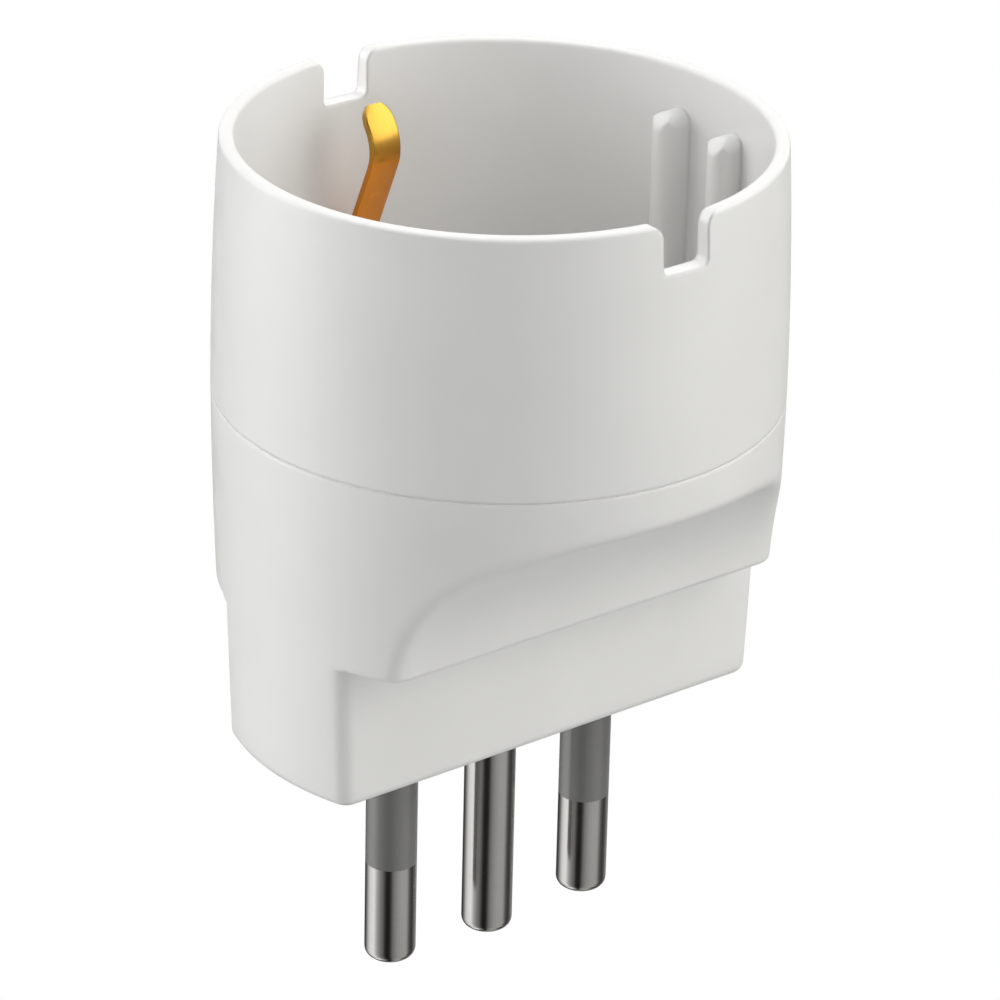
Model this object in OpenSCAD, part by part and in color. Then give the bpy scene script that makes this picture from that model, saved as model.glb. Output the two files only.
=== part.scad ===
// Plug adapter: a round side-earth socket recess above a flat three-pin in-line plug.
// Z = 0 is the plug face, the earth pin stands on the Z axis and points down,
// the socket recess opens upwards, and the three pins stand in a row along X.

/* [Socket recess] */
// Inner diameter of the round recess
recess_d = 39.7; // [39:0.1:41]
// Depth of the recess from the rim to its floor
recess_depth = 17.5; // [17:0.1:18.5]
// Wall of the cup at the rim
rim_wall = 1.1; // [0.9:0.05:1.5]
// Wall of the cup at the seam between the two shells
belly_wall = 1.75; // [1.6:0.05:2.2]
// Height of the recess floor above the seam between the two shells
floor_rise = 2.6; // [2.4:0.1:3.4]
// Thickness of the recess floor
floor_t = 2.2; // [1.8:0.1:2.6]
// Rounding of the rim's two edges
rim_round = 0.3; // [0.1:0.05:0.45]
// Diameter of each contact hole in the floor
hole_d = 5.4; // [5:0.1:5.8]
// Depth of the lead-in around each contact hole
lead_in = 0.5; // [0.2:0.1:0.9]
// Width of the two notches in the rim
notch_w = 4.1; // [3.4:0.1:5]
// Depth of the two notches
notch_depth = 3.85; // [3:0.05:5]
// Rounding where a notch meets the rim
notch_top_r = 1.1; // [0.5:0.1:1.6]
// Rounding at the bottom corners of a notch
notch_bottom_r = 0.5; // [0.2:0.1:1]
// Width of the guide ribs
rib_w = 2.1; // [1.8:0.1:2.6]
// How far the guide ribs stand in from the recess wall
rib_reach = 2.65; // [2.2:0.05:3]
// Rounding of the ribs' upper inner ends
rib_end_r = 1.6; // [0.8:0.1:2]
// Distance between the two guide ribs of a pair
rib_spacing = 6.5; // [5:0.1:7]
// Depth of the ribs' round tops below the rim
rib_top_depth = 3.4; // [2.5:0.1:5]

/* [Plug body] */
// Height of the plug body from the plug face to the seam
plug_h = 27.1; // [26.6:0.1:29]
// Height of the flat block that the pins stand in
block_h = 11.7; // [10.5:0.1:13]
// Width of the flat block across the row of pins
block_w = 15.1; // [14:0.1:15.6]
// How much the body's radius shrinks from the seam to the plug face
base_taper = 0.8; // [0.3:0.05:1.2]
// Rounding of the block's four upright edges
corner_r = 1.4; // [1:0.05:1.8]
// Rounding of the block's bottom edge
foot_round = 0.9; // [0.3:0.1:1]
// Rounding of the lip above the block
lip_round = 0.5; // [0.2:0.1:0.8]
// Width across the two finger coves, at the lip
grip_w = 23; // [22:0.1:25]
// Distance from the seam down to the top of the two finger coves
cove_top_drop = 3.1; // [2.8:0.1:3.8]
// Height of the lip above the centre of the coves
cove_drop = 1; // [0.4:0.1:1.6]
// Wall of the plug body
body_wall = 1.8; // [1.4:0.1:2]
// Thickness of the floor that the pins pass through
base_t = 2.6; // [2.2:0.1:3.2]
// Bevel on each shell's edge that draws the seam
seam_bevel = 0.12; // [0.05:0.01:0.25]

/* [Pins] */
// Distance between the outer pins, and between the socket holes above them
pole_spacing = 19; // [18.6:0.1:19.6]
// Diameter of the three pins
pin_d = 4; // [3.8:0.05:4.2]
// Length of the outer pins below the plug face
pin_len = 19.1; // [18:0.1:20]
// Length of the earth pin below the plug face
earth_pin_len = 19.6; // [18.5:0.1:20.5]
// Length of the insulating sleeves below the plug face
sleeve_len = 10.7; // [10:0.1:12]
// Wall of the insulating sleeves
sleeve_t = 0.5; // [0.35:0.05:0.6]
// Rounding of the pins' tips
tip_round = 0.8; // [0.6:0.1:1.4]
// Diameter of the thicker shank that sits in the base
shank_d = 4.4; // [4.3:0.05:4.8]
// Diameter of the collars inside the body
collar_d = 6.6; // [5.8:0.1:7]
// Thickness of the collars
collar_t = 1.6; // [1.2:0.1:2]
// Diameter of the tails that are riveted over
tail_d = 2.6; // [2.2:0.1:3]
// Height of the riveted heads
rivet_h = 0.7; // [0.5:0.1:1]

/* [Contact carrier] */
// Thickness of the carrier that clamps the pins' collars
carrier_t = 2; // [1.7:0.1:2.4]
// Thickness of the carrier's two walls between the poles
partition_t = 1; // [0.8:0.1:1.1]
// Distance between the two screws that hold the carrier
screw_spacing = 32; // [31.4:0.1:32.6]
// Diameter of the screws
screw_d = 2.2; // [2:0.1:2.4]
// Diameter of the screws' heads
screw_head_d = 3.8; // [3.4:0.1:4]

/* [Contacts] */
// Thickness of the sheet brass
sheet_t = 0.65; // [0.55:0.05:0.9]
// Width of the line and neutral contacts
contact_w = 5; // [4.4:0.1:5.4]
// Gap between the legs of a contact at its base
contact_base_gap = 5; // [4.8:0.1:5.4]
// Gap at the contact's narrow neck
contact_neck_gap = 4.5; // [4.2:0.1:4.7]
// Gap at the contact's open mouth
contact_mouth_gap = 6.2; // [5.6:0.1:6.6]
// Share of the contact's height that lies above its neck
contact_neck_share = 0.21; // [0.16:0.01:0.26]
// Thickness of the steel springs round the contacts
ring_t = 0.5; // [0.4:0.05:0.6]
// Height of the steel springs
ring_h = 3; // [2:0.1:4]

/* [Earth strap] */
// Width of the earth clips
clip_w = 2.6; // [2.2:0.1:3]
// Width of the strap where it lies on the earth pin
strap_w = 6; // [5.4:0.1:6.6]
// Distance from the axis to the clip where it leaves the floor
clip_foot_y = 19.2; // [18.9:0.05:19.35]
// Distance from the axis to the clip's bend
clip_bend_y = 14.15; // [13.9:0.05:15.5]
// Depth of the clip's bend below the rim
clip_bend_depth = 5.9; // [5:0.1:7]
// Distance from the axis to the fold under the clip's tip
clip_fold_y = 15.75; // [15.3:0.05:16.4]
// Depth of that fold below the rim
clip_fold_depth = 3.6; // [3:0.1:4.2]
// Distance from the axis to the clip's tip
clip_tip_y = 16.65; // [16.2:0.05:17.4]
// Depth of the clip's tip below the rim
clip_tip_depth = 2.8; // [2:0.1:2.9]
// Radius of the clip's main bend
clip_bend_r = 3.2; // [1.5:0.1:3.4]

/* [Shutter] */
// Thickness of the shutter
shutter_t = 2.6; // [2.2:0.1:3]
// Outer radius of the shutter's wings
wing_r = 12.6; // [12.4:0.1:13]
// Half of the angle that a wing covers
wing_angle = 17.5; // [17:0.1:18.5]
// Radius of the shutter's hub
hub_r = 4.4; // [4.3:0.1:4.8]
// Angle that the shutter turns through to open
shutter_turn = 34; // [33:0.5:35]
// Radius of the pivot under the socket floor
pivot_r = 1.5; // [1.2:0.05:1.6]
// Diameter of the shutter spring's wire
wire_d = 0.5; // [0.4:0.05:0.55]
// Thickness of the plate that holds the shutter
plate_t = 1.3; // [1:0.1:1.5]
// How far the plate reaches past the shutter's wings and the contact holes
plate_overhang = 1.9; // [1.5:0.1:2.3]
// Margin of the plate round the outermost posts
plate_margin = 1.6; // [1.5:0.1:2]

/* [Fits] */
// Gap between the spigot and its rebate
spigot_gap = 0.1; // [0.05:0.01:0.15]
// Radial gap between a pin and its hole
pin_gap = 0.03; // [0.02:0.01:0.05]
// Radial gap between the shutter and its pivot
pivot_gap = 0.1; // [0.05:0.01:0.1]
// Gap above and below the shutter
shutter_gap = 0.2; // [0.15:0.01:0.3]
// Gap between seated inner pieces
seat_gap = 0.05; // [0.02:0.01:0.08]

/* [Hidden] */
$fn = 64;

// Colours
shell_colour = "whitesmoke";
sleeve_colour = "darkgray";
plate_colour = "lightgray";
nickel_colour = "silver";
brass_colour = "goldenrod";
steel_colour = "slategray";
shutter_colour = "gainsboro";

// Overlap of cutting tools past a face, and steps of an outline's curves
eps = 0.5;
arc_steps = 6;
belly_steps = 6;

// Radii and heights of the two shells
recess_r = recess_d / 2;
rim_r = recess_r + rim_wall;
belly_r = recess_r + belly_wall;
cup_h = floor_rise + recess_depth;
rim_z = plug_h + cup_h;
floor_z = plug_h + floor_rise;
under_z = floor_z - floor_t;
base_r = belly_r - base_taper;
lip_r = shell_r(block_h);
cove_z = block_h - cove_drop;
cove_r = plug_h - cove_top_drop - cove_z;
cove_y = grip_w / 2 + sqrt(cove_r * cove_r - cove_drop * cove_drop);
pole_x = pole_spacing / 2;
corner_overlap = 0.8;

// Lap joint between the shells
lap_wall = belly_wall / 2;
lap_r = belly_r - lap_wall;
lap_h = 2.6;
lap_z = plug_h - lap_h;
spigot_t = 1.2;
spigot_r = lap_r - spigot_gap;

// Snap hooks at the two ends of the pin row, and the catches that they hold
hook_w = 5;
hook_t = 1.3;
barb_out = 0.9;
barb_h = 1.4;
catch_t = 1.5;
catch_w = 6;
catch_bottom_z = lap_z - seat_gap - catch_t - 1.2;
hook_bottom_z = catch_bottom_z - seat_gap - barb_h;
hook_x = belly_r - body_wall - barb_out - hook_t - 0.8;

// Stack under the socket floor
shutter_top_z = under_z - shutter_gap;
shutter_bottom_z = shutter_top_z - shutter_t;
turns = 3;
spring_h = turns * wire_d;
plate_top_z = shutter_bottom_z - spring_h - shutter_gap;
plate_bottom_z = plate_top_z - plate_t;
plate_hole_r = hole_d / 2 + 0.3;
plate_corner_r = 3;
stem_r = pivot_r + pivot_gap + 0.6;
coil_r = stem_r + 0.3 + wire_d / 2;
peg_r = 0.6;
peg_y = coil_r - wire_d / 2 - seat_gap - peg_r;
peg_orbit = coil_r + wire_d / 2 + peg_r + 0.1;
peg_x = sqrt(peg_orbit * peg_orbit - peg_y * peg_y);
leg_l = peg_x + peg_r + 0.4;
post_r = 1.6;
post_orbit = 10.2;
post_span = wing_angle + asin(post_r / post_orbit) + 0.3;
post_angles = [-post_span, shutter_turn + post_span];
plate_l = 2 * (max(wing_r, pole_x + hole_d / 2) + plate_overhang);
plate_w = 2 * (post_orbit * sin(shutter_turn + post_span) + plate_margin);
stake_r = 0.9;
stake_head_r = 1.5;
stake_head_h = 0.6;
ramp_low = 0.6;
ramp_side = 1;
coil_touch = 0.02;

// Pins and what is riveted on them
pin_r = pin_d / 2;
core_r = pin_r - sleeve_t;
collar_z = base_t + collar_t;
sleeve_in = base_t - 0.1;
rivet_z = collar_z + sheet_t;
rivet_r = tail_d / 2 + 0.7;

// Chambers in the plug body
chamber_y = block_w / 2 - body_wall;
chamber_r = base_r - body_wall;
cavity_z = block_h + body_wall;
partition_x = strap_w / 2 + 1.4;
partition_top_z = plate_bottom_z - seat_gap;
carrier_z = collar_z + seat_gap;
carrier_top_z = carrier_z + carrier_t;
carrier_y = chamber_y - 0.1;
window_gap = 0.15;
screw_x = screw_spacing / 2;
screw_r = screw_d / 2;
screw_head_h = 1.1;
screw_head_bevel = 0.5;
screw_slot_w = 0.5;
screw_end_z = 1.4;
boss_r = screw_r + 0.8;

// Contacts
contact_top_z = plate_bottom_z - 0.4;
contact_rise = contact_top_z - rivet_z;
leg_top_z = rivet_z + 0.55 * contact_rise;
ring_z = leg_top_z - ring_h - 0.3;

// Earth strap
strap_y = chamber_y - 0.3 - sheet_t / 2;
strap_arc_r = cove_r + body_wall + 0.3 + sheet_t / 2;
strap_slot_w = clip_w + 0.6;
strap_slot_y = clip_foot_y - sheet_t / 2 - 0.4;
strap_pocket_in = 2.4;
strap_pocket_roof = 0.4;
strap_low_rise = 3.6;
strap_high_drop = 3;
strap_low_z = cavity_z + strap_low_rise;
strap_high_z = under_z - strap_high_drop;
strap_low_a = asin((strap_low_z - cove_z) / strap_arc_r);
strap_high_a = min(
  asin(min(1, (strap_high_z - cove_z) / strap_arc_r)), acos((cove_y - clip_foot_y) / strap_arc_r)
);
strap_arcs = 3;
strap_shoulder_z = cavity_z - 1;
strap_neck_z = cavity_z + 1.6;

// Radius of the outside at height z: widest at the seam, drawn in towards the rim and the plug face
function shell_r(z) =
  z < plug_h
    ? belly_r - base_taper * pow((plug_h - z) / plug_h, 1.5)
    : belly_r - (belly_wall - rim_wall) * pow((z - plug_h) / cup_h, 2);

// Points of the outside between two heights
function shell_side(z0, z1) =
  [for (i = [0:belly_steps]) let (z = z0 + (z1 - z0) * i / belly_steps) [shell_r(z), z]];

// Quarter-round from angle a0 to a1 about a centre
function arc(cx, cy, r, a0, a1) =
  [for (i = [0:arc_steps]) let (a = a0 + (a1 - a0) * i / arc_steps) [cx + r * cos(a), cy + r * sin(a)]];

// Unit vector from a to b
function heading(a, b) = (b - a) / norm(b - a);

// True where a path runs straight on through b
function runs_straight(a, b, c) = norm(heading(a, b) - heading(b, c)) < 0.0001;

// A path's corner rounded to radius r
function corner(a, b, c, r) =
  let (
    u = heading(b, a),
    v = heading(b, c),
    half = acos(min(1, max(-1, u * v))) / 2,
    reach = r / tan(half),
    centre = b + heading([0, 0], u + v) * r / sin(half),
    p = b + u * reach,
    q = b + v * reach,
    a0 = atan2(p[1] - centre[1], p[0] - centre[0]),
    turn = atan2(q[1] - centre[1], q[0] - centre[0]) - a0,
    sweep = turn > 180 ? turn - 360 : turn < -180 ? turn + 360 : turn
  )
  [for (i = [0:arc_steps]) centre + r * [cos(a0 + sweep * i / arc_steps), sin(a0 + sweep * i / arc_steps)]];

// A path [[point, radius], ...] with its corners rounded
function rounded(path) =
  let (n = len(path))
  [
    for (i = [0:n - 1])
      each (
        i == 0 || i == n - 1 || path[i][1] == 0
          || runs_straight(path[i - 1][0], path[i][0], path[i + 1][0])
          ? [path[i][0]]
          : corner(path[i - 1][0], path[i][0], path[i + 1][0], path[i][1])
      )
  ];

// Side shift of point i of a path, for one face of a bent sheet
function side_shift(p, i, t) =
  let (
    n = len(p),
    u = i == 0 ? heading(p[0], p[1]) : heading(p[i - 1], p[i]),
    v = i == n - 1 ? u : heading(p[i], p[i + 1]),
    m = heading([0, 0], u + v)
  )
  [-m[1], m[0]] * t / (u * m);

// Outline of a bent sheet whose middle follows the path
function sheet_outline(p, t) =
  concat(
    [for (i = [0:len(p) - 1]) p[i] + side_shift(p, i, t / 2)],
    [for (i = [len(p) - 1:-1:0]) p[i] - side_shift(p, i, t / 2)]
  );

// A profile drawn in Y and Z, and extruded along X about the YZ plane
module along_x(width) {
  rotate([90, 0, 90]) linear_extrude(width, center = true) children();
}

// A profile drawn in X and Z, and extruded along Y about the XZ plane
module along_y(width) {
  rotate([90, 0, 0]) linear_extrude(width, center = true) children();
}

module both_ends() {
  children();
  rotate([0, 0, 180]) children();
}

module box(x0, x1, y0, y1, z0, z1) {
  translate([x0, y0, z0]) cube([x1 - x0, y1 - y0, z1 - z0]);
}

module disc(r, z0, z1) {
  translate([0, 0, z0]) cylinder(r = r, h = z1 - z0);
}

// Socket shell: cup, floor, guide ribs, snap hooks and the shutter's pivot

module cup() {
  rotate_extrude()
    polygon(
      concat(
        [
          [0, under_z], [spigot_r - spigot_t, under_z], [spigot_r - spigot_t, lap_z + spigot_gap],
          [spigot_r, lap_z + spigot_gap], [spigot_r, plug_h], [belly_r - seam_bevel, plug_h],
          [shell_r(plug_h + seam_bevel), plug_h + seam_bevel]
        ],
        [for (p = shell_side(plug_h, rim_z - rim_round)) if (p[1] > plug_h + seam_bevel) p],
        arc(rim_r - rim_round, rim_z - rim_round, rim_round, 0, 90),
        [[0, rim_z]]
      )
    );
}

// Rib with a round nose and an arched top
module guide_rib() {
  r = rib_w / 2;
  nose_x = recess_r - rib_reach + r;
  top_z = rim_z - rib_top_depth - r;
  intersection() {
    translate([0, rib_spacing / 2, floor_z - eps])
      linear_extrude(rim_z - floor_z) {
        translate([nose_x, 0]) circle(r = r);
        translate([nose_x, -r]) square([rib_reach + eps - r, rib_w]);
      }
    translate([recess_r, rib_spacing / 2, 0])
      along_x(rib_reach * 2 + 2) {
        translate([0, top_z]) circle(r = r);
        translate([-r, floor_z - 2 * eps]) square([rib_w, top_z - floor_z + 2 * eps]);
      }
    translate([0, rib_spacing / 2, 0])
      along_y(rib_w + 2)
        polygon(
          concat(
            [[recess_r + 1, floor_z - 2 * eps], [recess_r + 1, rim_z]],
            arc(nose_x - r + rib_end_r, rim_z - rib_top_depth - rib_end_r, rib_end_r, 90, 180),
            [[nose_x - r, floor_z - 2 * eps]]
          )
        );
  }
}

// Hollow of the recess, flared at the rim and left solid where the four ribs stand
module recess() {
  difference() {
    rotate_extrude()
      polygon(
        concat(
          [[0, floor_z], [recess_r, floor_z]],
          arc(recess_r + rim_round, rim_z - rim_round, rim_round, 180, 90),
          [[recess_r + rim_round, rim_z + eps], [0, rim_z + eps]]
        )
      );
    for (sx = [0, 1]) for (sy = [0, 1])
      mirror([sx, 0, 0]) mirror([0, sy, 0]) guide_rib();
  }
}

// Outline of a rim notch: rounded at its foot, flared at the rim
module notch_profile() {
  half = notch_w / 2;
  foot_z = rim_z - notch_depth;
  polygon(
    concat(
      arc(-half + notch_bottom_r, foot_z + notch_bottom_r, notch_bottom_r, 180, 270),
      arc(half - notch_bottom_r, foot_z + notch_bottom_r, notch_bottom_r, 270, 360),
      arc(half + notch_top_r, rim_z - notch_top_r, notch_top_r, 180, 90),
      [[half + notch_top_r, rim_z + eps], [-half - notch_top_r, rim_z + eps]],
      arc(-half - notch_top_r, rim_z - notch_top_r, notch_top_r, 90, 0)
    )
  );
}

module contact_hole() {
  r = hole_d / 2;
  translate([pole_x, 0, 0])
    rotate_extrude()
      polygon([
        [0, under_z - eps], [r, under_z - eps], [r, floor_z - lead_in], [r + lead_in, floor_z],
        [r + lead_in, floor_z + eps], [0, floor_z + eps]
      ]);
}

module snap_hook() {
  tip = hook_x + hook_t + barb_out;
  along_y(hook_w)
    polygon([
      [hook_x, under_z + eps], [hook_x, hook_bottom_z], [hook_x + hook_t, hook_bottom_z],
      [tip, hook_bottom_z + barb_h * 0.7], [tip, hook_bottom_z + barb_h],
      [hook_x + hook_t, hook_bottom_z + barb_h], [hook_x + hook_t, under_z + eps]
    ]);
}

// The four posts that carry the plate also stop the shutter at both ends of its turn
module at_posts() {
  both_ends()
    for (a = post_angles)
      rotate([0, 0, a]) translate([post_orbit, 0, 0]) children();
}

// Post with its end melted over to a head
module stake_post() {
  disc(post_r, plate_top_z, under_z + eps);
  disc(stake_r, plate_bottom_z - stake_head_h, plate_top_z + eps);
  disc(stake_head_r, plate_bottom_z - stake_head_h, plate_bottom_z);
}

module socket_shell() {
  color(shell_colour) {
    difference() {
      cup();
      recess();
      along_y(belly_r * 2 + 2) notch_profile();
      both_ends() contact_hole();
      both_ends()
        box(
          -strap_slot_w / 2, strap_slot_w / 2, strap_slot_y, recess_r - seat_gap / 2,
          lap_z - eps, floor_z + eps
        );
      both_ends()
        box(
          -strap_slot_w / 2, strap_slot_w / 2, strap_slot_y - strap_pocket_in, lap_r,
          lap_z - eps, under_z - strap_pocket_roof
        );
    }
    both_ends() snap_hook();
    at_posts() stake_post();
    disc(pivot_r, plate_top_z + seat_gap, under_z + eps);
  }
}

// Plug body: flat block with rounded ends, lip and two finger coves

module block_end() {
  slab_y = block_w / 2 - corner_r * corner_overlap;
  intersection() {
    rotate_extrude()
      polygon(
        concat(
          [[0, 0]],
          arc(base_r - foot_round, foot_round, foot_round, 270, 360),
          [for (p = shell_side(0, block_h + lip_round)) if (p[1] > foot_round) p],
          [[0, block_h + lip_round]]
        )
      );
    box(-belly_r, belly_r, -slab_y, slab_y, -eps, block_h + 2);
  }
}

module block_middle() {
  half = block_w / 2;
  y = half - corner_r;
  foot_x = sqrt(pow(base_r - corner_r, 2) - y * y);
  top_x = sqrt(pow(lip_r - corner_r, 2) - y * y);
  intersection() {
    along_x(belly_r * 2)
      polygon(
        concat(
          arc(half - foot_round, foot_round, foot_round, 270, 360),
          [[half, block_h + eps], [-half, block_h + eps]],
          arc(-half + foot_round, foot_round, foot_round, 180, 270)
        )
      );
    along_y(block_w + 2)
      polygon([[-foot_x, -eps], [foot_x, -eps], [top_x, block_h + eps], [-top_x, block_h + eps]]);
  }
}

// Upright edge of the block, leaning out with the taper
module block_corner() {
  y = block_w / 2 - corner_r;
  foot_x = sqrt(pow(base_r - corner_r, 2) - y * y);
  top_x = sqrt(pow(lip_r - corner_r, 2) - y * y);
  lean = atan((top_x - foot_x) / block_h);
  intersection() {
    translate([foot_x, y, 0]) rotate([0, lean, 0])
      rotate_extrude()
        polygon(
          concat(
            [[0, 0]],
            arc(corner_r - foot_round, foot_round, foot_round, 270, 360),
            [[corner_r, block_h + lip_round], [0, block_h + lip_round]]
          )
        );
    box(0, belly_r, 0, block_w, 0, block_h + 1);
  }
}

module block() {
  block_end();
  block_middle();
  for (sx = [0, 1]) for (sy = [0, 1])
    mirror([sx, 0, 0]) mirror([0, sy, 0]) block_corner();
}

// The two finger coves, grown by a wall for the inside
module coves(grow) {
  for (sy = [0, 1])
    mirror([0, sy, 0])
      translate([0, cove_y, cove_z]) rotate([0, 90, 0])
        cylinder(r = cove_r + grow, h = belly_r * 2 + 2, center = true);
}

module upper_body() {
  difference() {
    rotate_extrude()
      polygon(
        concat(
          [[0, block_h]],
          arc(lip_r - lip_round, block_h + lip_round, lip_round, 270, 360),
          [
            for (p = shell_side(block_h, plug_h))
              if (p[1] > block_h + lip_round && p[1] < plug_h - seam_bevel) p
          ],
          [[shell_r(plug_h - seam_bevel), plug_h - seam_bevel], [belly_r - seam_bevel, plug_h], [0, plug_h]]
        )
      );
    coves(0);
  }
}

module upper_cavity() {
  difference() {
    rotate_extrude()
      polygon(
        concat(
          [[0, cavity_z]],
          [for (p = shell_side(cavity_z, plug_h)) [p[0] - body_wall, p[1]]],
          [[belly_r - body_wall, plug_h + eps], [0, plug_h + eps]]
        )
      );
    coves(body_wall);
  }
}

module lower_cavity() {
  intersection() {
    disc(chamber_r, base_t, cavity_z + eps);
    box(-belly_r, belly_r, -chamber_y, chamber_y, 0, cavity_z + 2);
  }
}

module pin_bore(x) {
  translate([x, 0, 0]) disc(shank_d / 2 + pin_gap, -eps, base_t + eps);
}

module catch_ledge() {
  intersection() {
    box(
      hook_x + hook_t + seat_gap, belly_r, -catch_w / 2, catch_w / 2,
      catch_bottom_z, catch_bottom_z + catch_t
    );
    disc(belly_r - body_wall / 2, catch_bottom_z - eps, catch_bottom_z + catch_t + eps);
  }
}

module screw_boss() {
  translate([screw_x, 0, 0])
    difference() {
      disc(boss_r, base_t - eps, carrier_z);
      disc(screw_r + pin_gap, base_t - 2 * eps, carrier_z + eps);
    }
}

module plug_body() {
  color(shell_colour) {
    difference() {
      union() {
        block();
        upper_body();
      }
      upper_cavity();
      lower_cavity();
      disc(lap_r, lap_z, plug_h + eps);
      for (x = [-pole_x, 0, pole_x]) pin_bore(x);
      both_ends() translate([screw_x, 0, 0]) disc(screw_r + pin_gap, screw_end_z - seat_gap, base_t + eps);
    }
    both_ends() catch_ledge();
    both_ends() screw_boss();
  }
}

// Pins and their sleeves

module pole_pin(x) {
  color(nickel_colour)
    translate([x, 0, 0])
      rotate_extrude()
        polygon(
          concat(
            [[0, -pin_len]],
            arc(pin_r - tip_round, -pin_len + tip_round, tip_round, 270, 360),
            [
              [pin_r, -sleeve_len], [core_r, -sleeve_len], [core_r, base_t],
              [collar_d / 2, base_t], [collar_d / 2, collar_z], [tail_d / 2, collar_z],
              [tail_d / 2, rivet_z], [rivet_r, rivet_z], [rivet_r * 0.7, rivet_z + rivet_h],
              [0, rivet_z + rivet_h]
            ]
          )
        );
}

module line_pin() pole_pin(-pole_x);

module neutral_pin() pole_pin(pole_x);

module earth_pin() {
  color(nickel_colour)
    rotate_extrude()
      polygon(
        concat(
          [[0, -earth_pin_len]],
          arc(pin_r - tip_round, -earth_pin_len + tip_round, tip_round, 270, 360),
          [
            [pin_r, 0], [shank_d / 2, 0], [shank_d / 2, base_t],
            [collar_d / 2, base_t], [collar_d / 2, collar_z],
            [tail_d / 2, collar_z], [tail_d / 2, rivet_z], [rivet_r, rivet_z],
            [rivet_r * 0.7, rivet_z + rivet_h], [0, rivet_z + rivet_h]
          ]
        )
      );
}

module sleeve(x) {
  color(sleeve_colour)
    translate([x, 0, 0])
      difference() {
        union() {
          disc(pin_r, -sleeve_len, eps);
          disc(shank_d / 2, 0, sleeve_in);
        }
        disc(core_r + pin_gap / 2, -sleeve_len - eps, sleeve_in + eps);
      }
}

module line_sleeve() sleeve(-pole_x);

module neutral_sleeve() sleeve(pole_x);

// Contact carrier: clamps the collars and the strap, and parts the poles with two walls

module contact_carrier() {
  leg_out = contact_base_gap / 2 + sheet_t + window_gap;
  color(plate_colour)
    difference() {
      union() {
        intersection() {
          box(-belly_r, belly_r, -carrier_y, carrier_y, carrier_z, carrier_top_z);
          disc(chamber_r - 0.3, carrier_z - eps, carrier_top_z + eps);
        }
        both_ends()
          box(partition_x, partition_x + partition_t, -carrier_y, carrier_y, carrier_z, partition_top_z);
      }
      both_ends()
        box(
          pole_x - leg_out, pole_x + leg_out,
          -contact_w / 2 - window_gap, contact_w / 2 + window_gap, carrier_z - eps, carrier_top_z + eps
        );
      box(
        -strap_w / 2 - window_gap, strap_w / 2 + window_gap, -carrier_y - eps, carrier_y + eps,
        carrier_z - eps, rivet_z + seat_gap
      );
      for (sy = [0, 1])
        mirror([0, sy, 0])
          box(
            -strap_w / 2 - window_gap, strap_w / 2 + window_gap, strap_y - sheet_t / 2 - window_gap,
            carrier_y + eps, carrier_z - eps, carrier_top_z + eps
          );
      disc(rivet_r + window_gap, carrier_z - eps, carrier_top_z + eps);
      both_ends()
        translate([screw_x, 0, 0]) disc(screw_r + window_gap, carrier_z - eps, carrier_top_z + eps);
    }
}

// Two small screws with crossed slots in their heads
module carrier_screws() {
  w = screw_slot_w / 2;
  l = screw_head_d / 3;
  head_top = carrier_top_z + screw_head_h;
  slot_z = carrier_top_z + screw_head_bevel;
  color(steel_colour)
    both_ends()
      translate([screw_x, 0, 0])
        difference() {
          rotate_extrude()
            polygon([
              [0, screw_end_z], [screw_r * 0.5, screw_end_z], [screw_r, screw_end_z + screw_r],
              [screw_r, carrier_top_z], [screw_head_d / 2, carrier_top_z],
              [screw_head_d / 2, head_top - screw_head_bevel],
              [screw_head_d / 2 - screw_head_bevel, head_top], [0, head_top]
            ]);
          box(-l, l, -w, w, slot_z, head_top + eps);
          box(-w, w, -l, l, slot_z, head_top + eps);
        }
}

// Line and neutral contacts: a fork of bent sheet, with a steel spring round its legs

module contact(x) {
  leg = contact_base_gap / 2 + sheet_t / 2;
  neck = contact_neck_gap / 2 + sheet_t / 2;
  mouth = contact_mouth_gap / 2 + sheet_t / 2;
  base_z = collar_z + sheet_t / 2;
  neck_z = contact_top_z - contact_neck_share * contact_rise;
  half = [
    [[leg, base_z], sheet_t], [[leg, leg_top_z], sheet_t], [[neck, neck_z], 1.5 * sheet_t],
    [[mouth, contact_top_z], 0]
  ];
  path = concat(
    [for (i = [3:-1:0]) [[-half[i][0][0], half[i][0][1]], half[i][1]]],
    half
  );
  color(brass_colour)
    translate([x, 0, 0])
      difference() {
        along_y(contact_w) polygon(sheet_outline(rounded(path), sheet_t));
        disc(tail_d / 2 + pin_gap, collar_z - eps, rivet_z + eps);
      }
}

module line_contact() contact(-pole_x);

module neutral_contact() contact(pole_x);

// Open rectangular ring of steel strip
module contact_spring(x) {
  in_x = contact_base_gap / 2 + sheet_t + seat_gap;
  in_y = contact_w / 2 + seat_gap;
  slit = 0.8;
  color(steel_colour)
    translate([x, 0, 0])
      difference() {
        box(-in_x - ring_t, in_x + ring_t, -in_y - ring_t, in_y + ring_t, ring_z, ring_z + ring_h);
        box(-in_x, in_x, -in_y, in_y, ring_z - eps, ring_z + ring_h + eps);
        box(-slit / 2, slit / 2, in_y - eps, in_y + ring_t + eps, ring_z - eps, ring_z + ring_h + eps);
      }
}

module line_contact_spring() contact_spring(-pole_x);

module neutral_contact_spring() contact_spring(pole_x);

// Earth strap: one sheet, riveted to the earth pin and rising to both side clips

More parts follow.
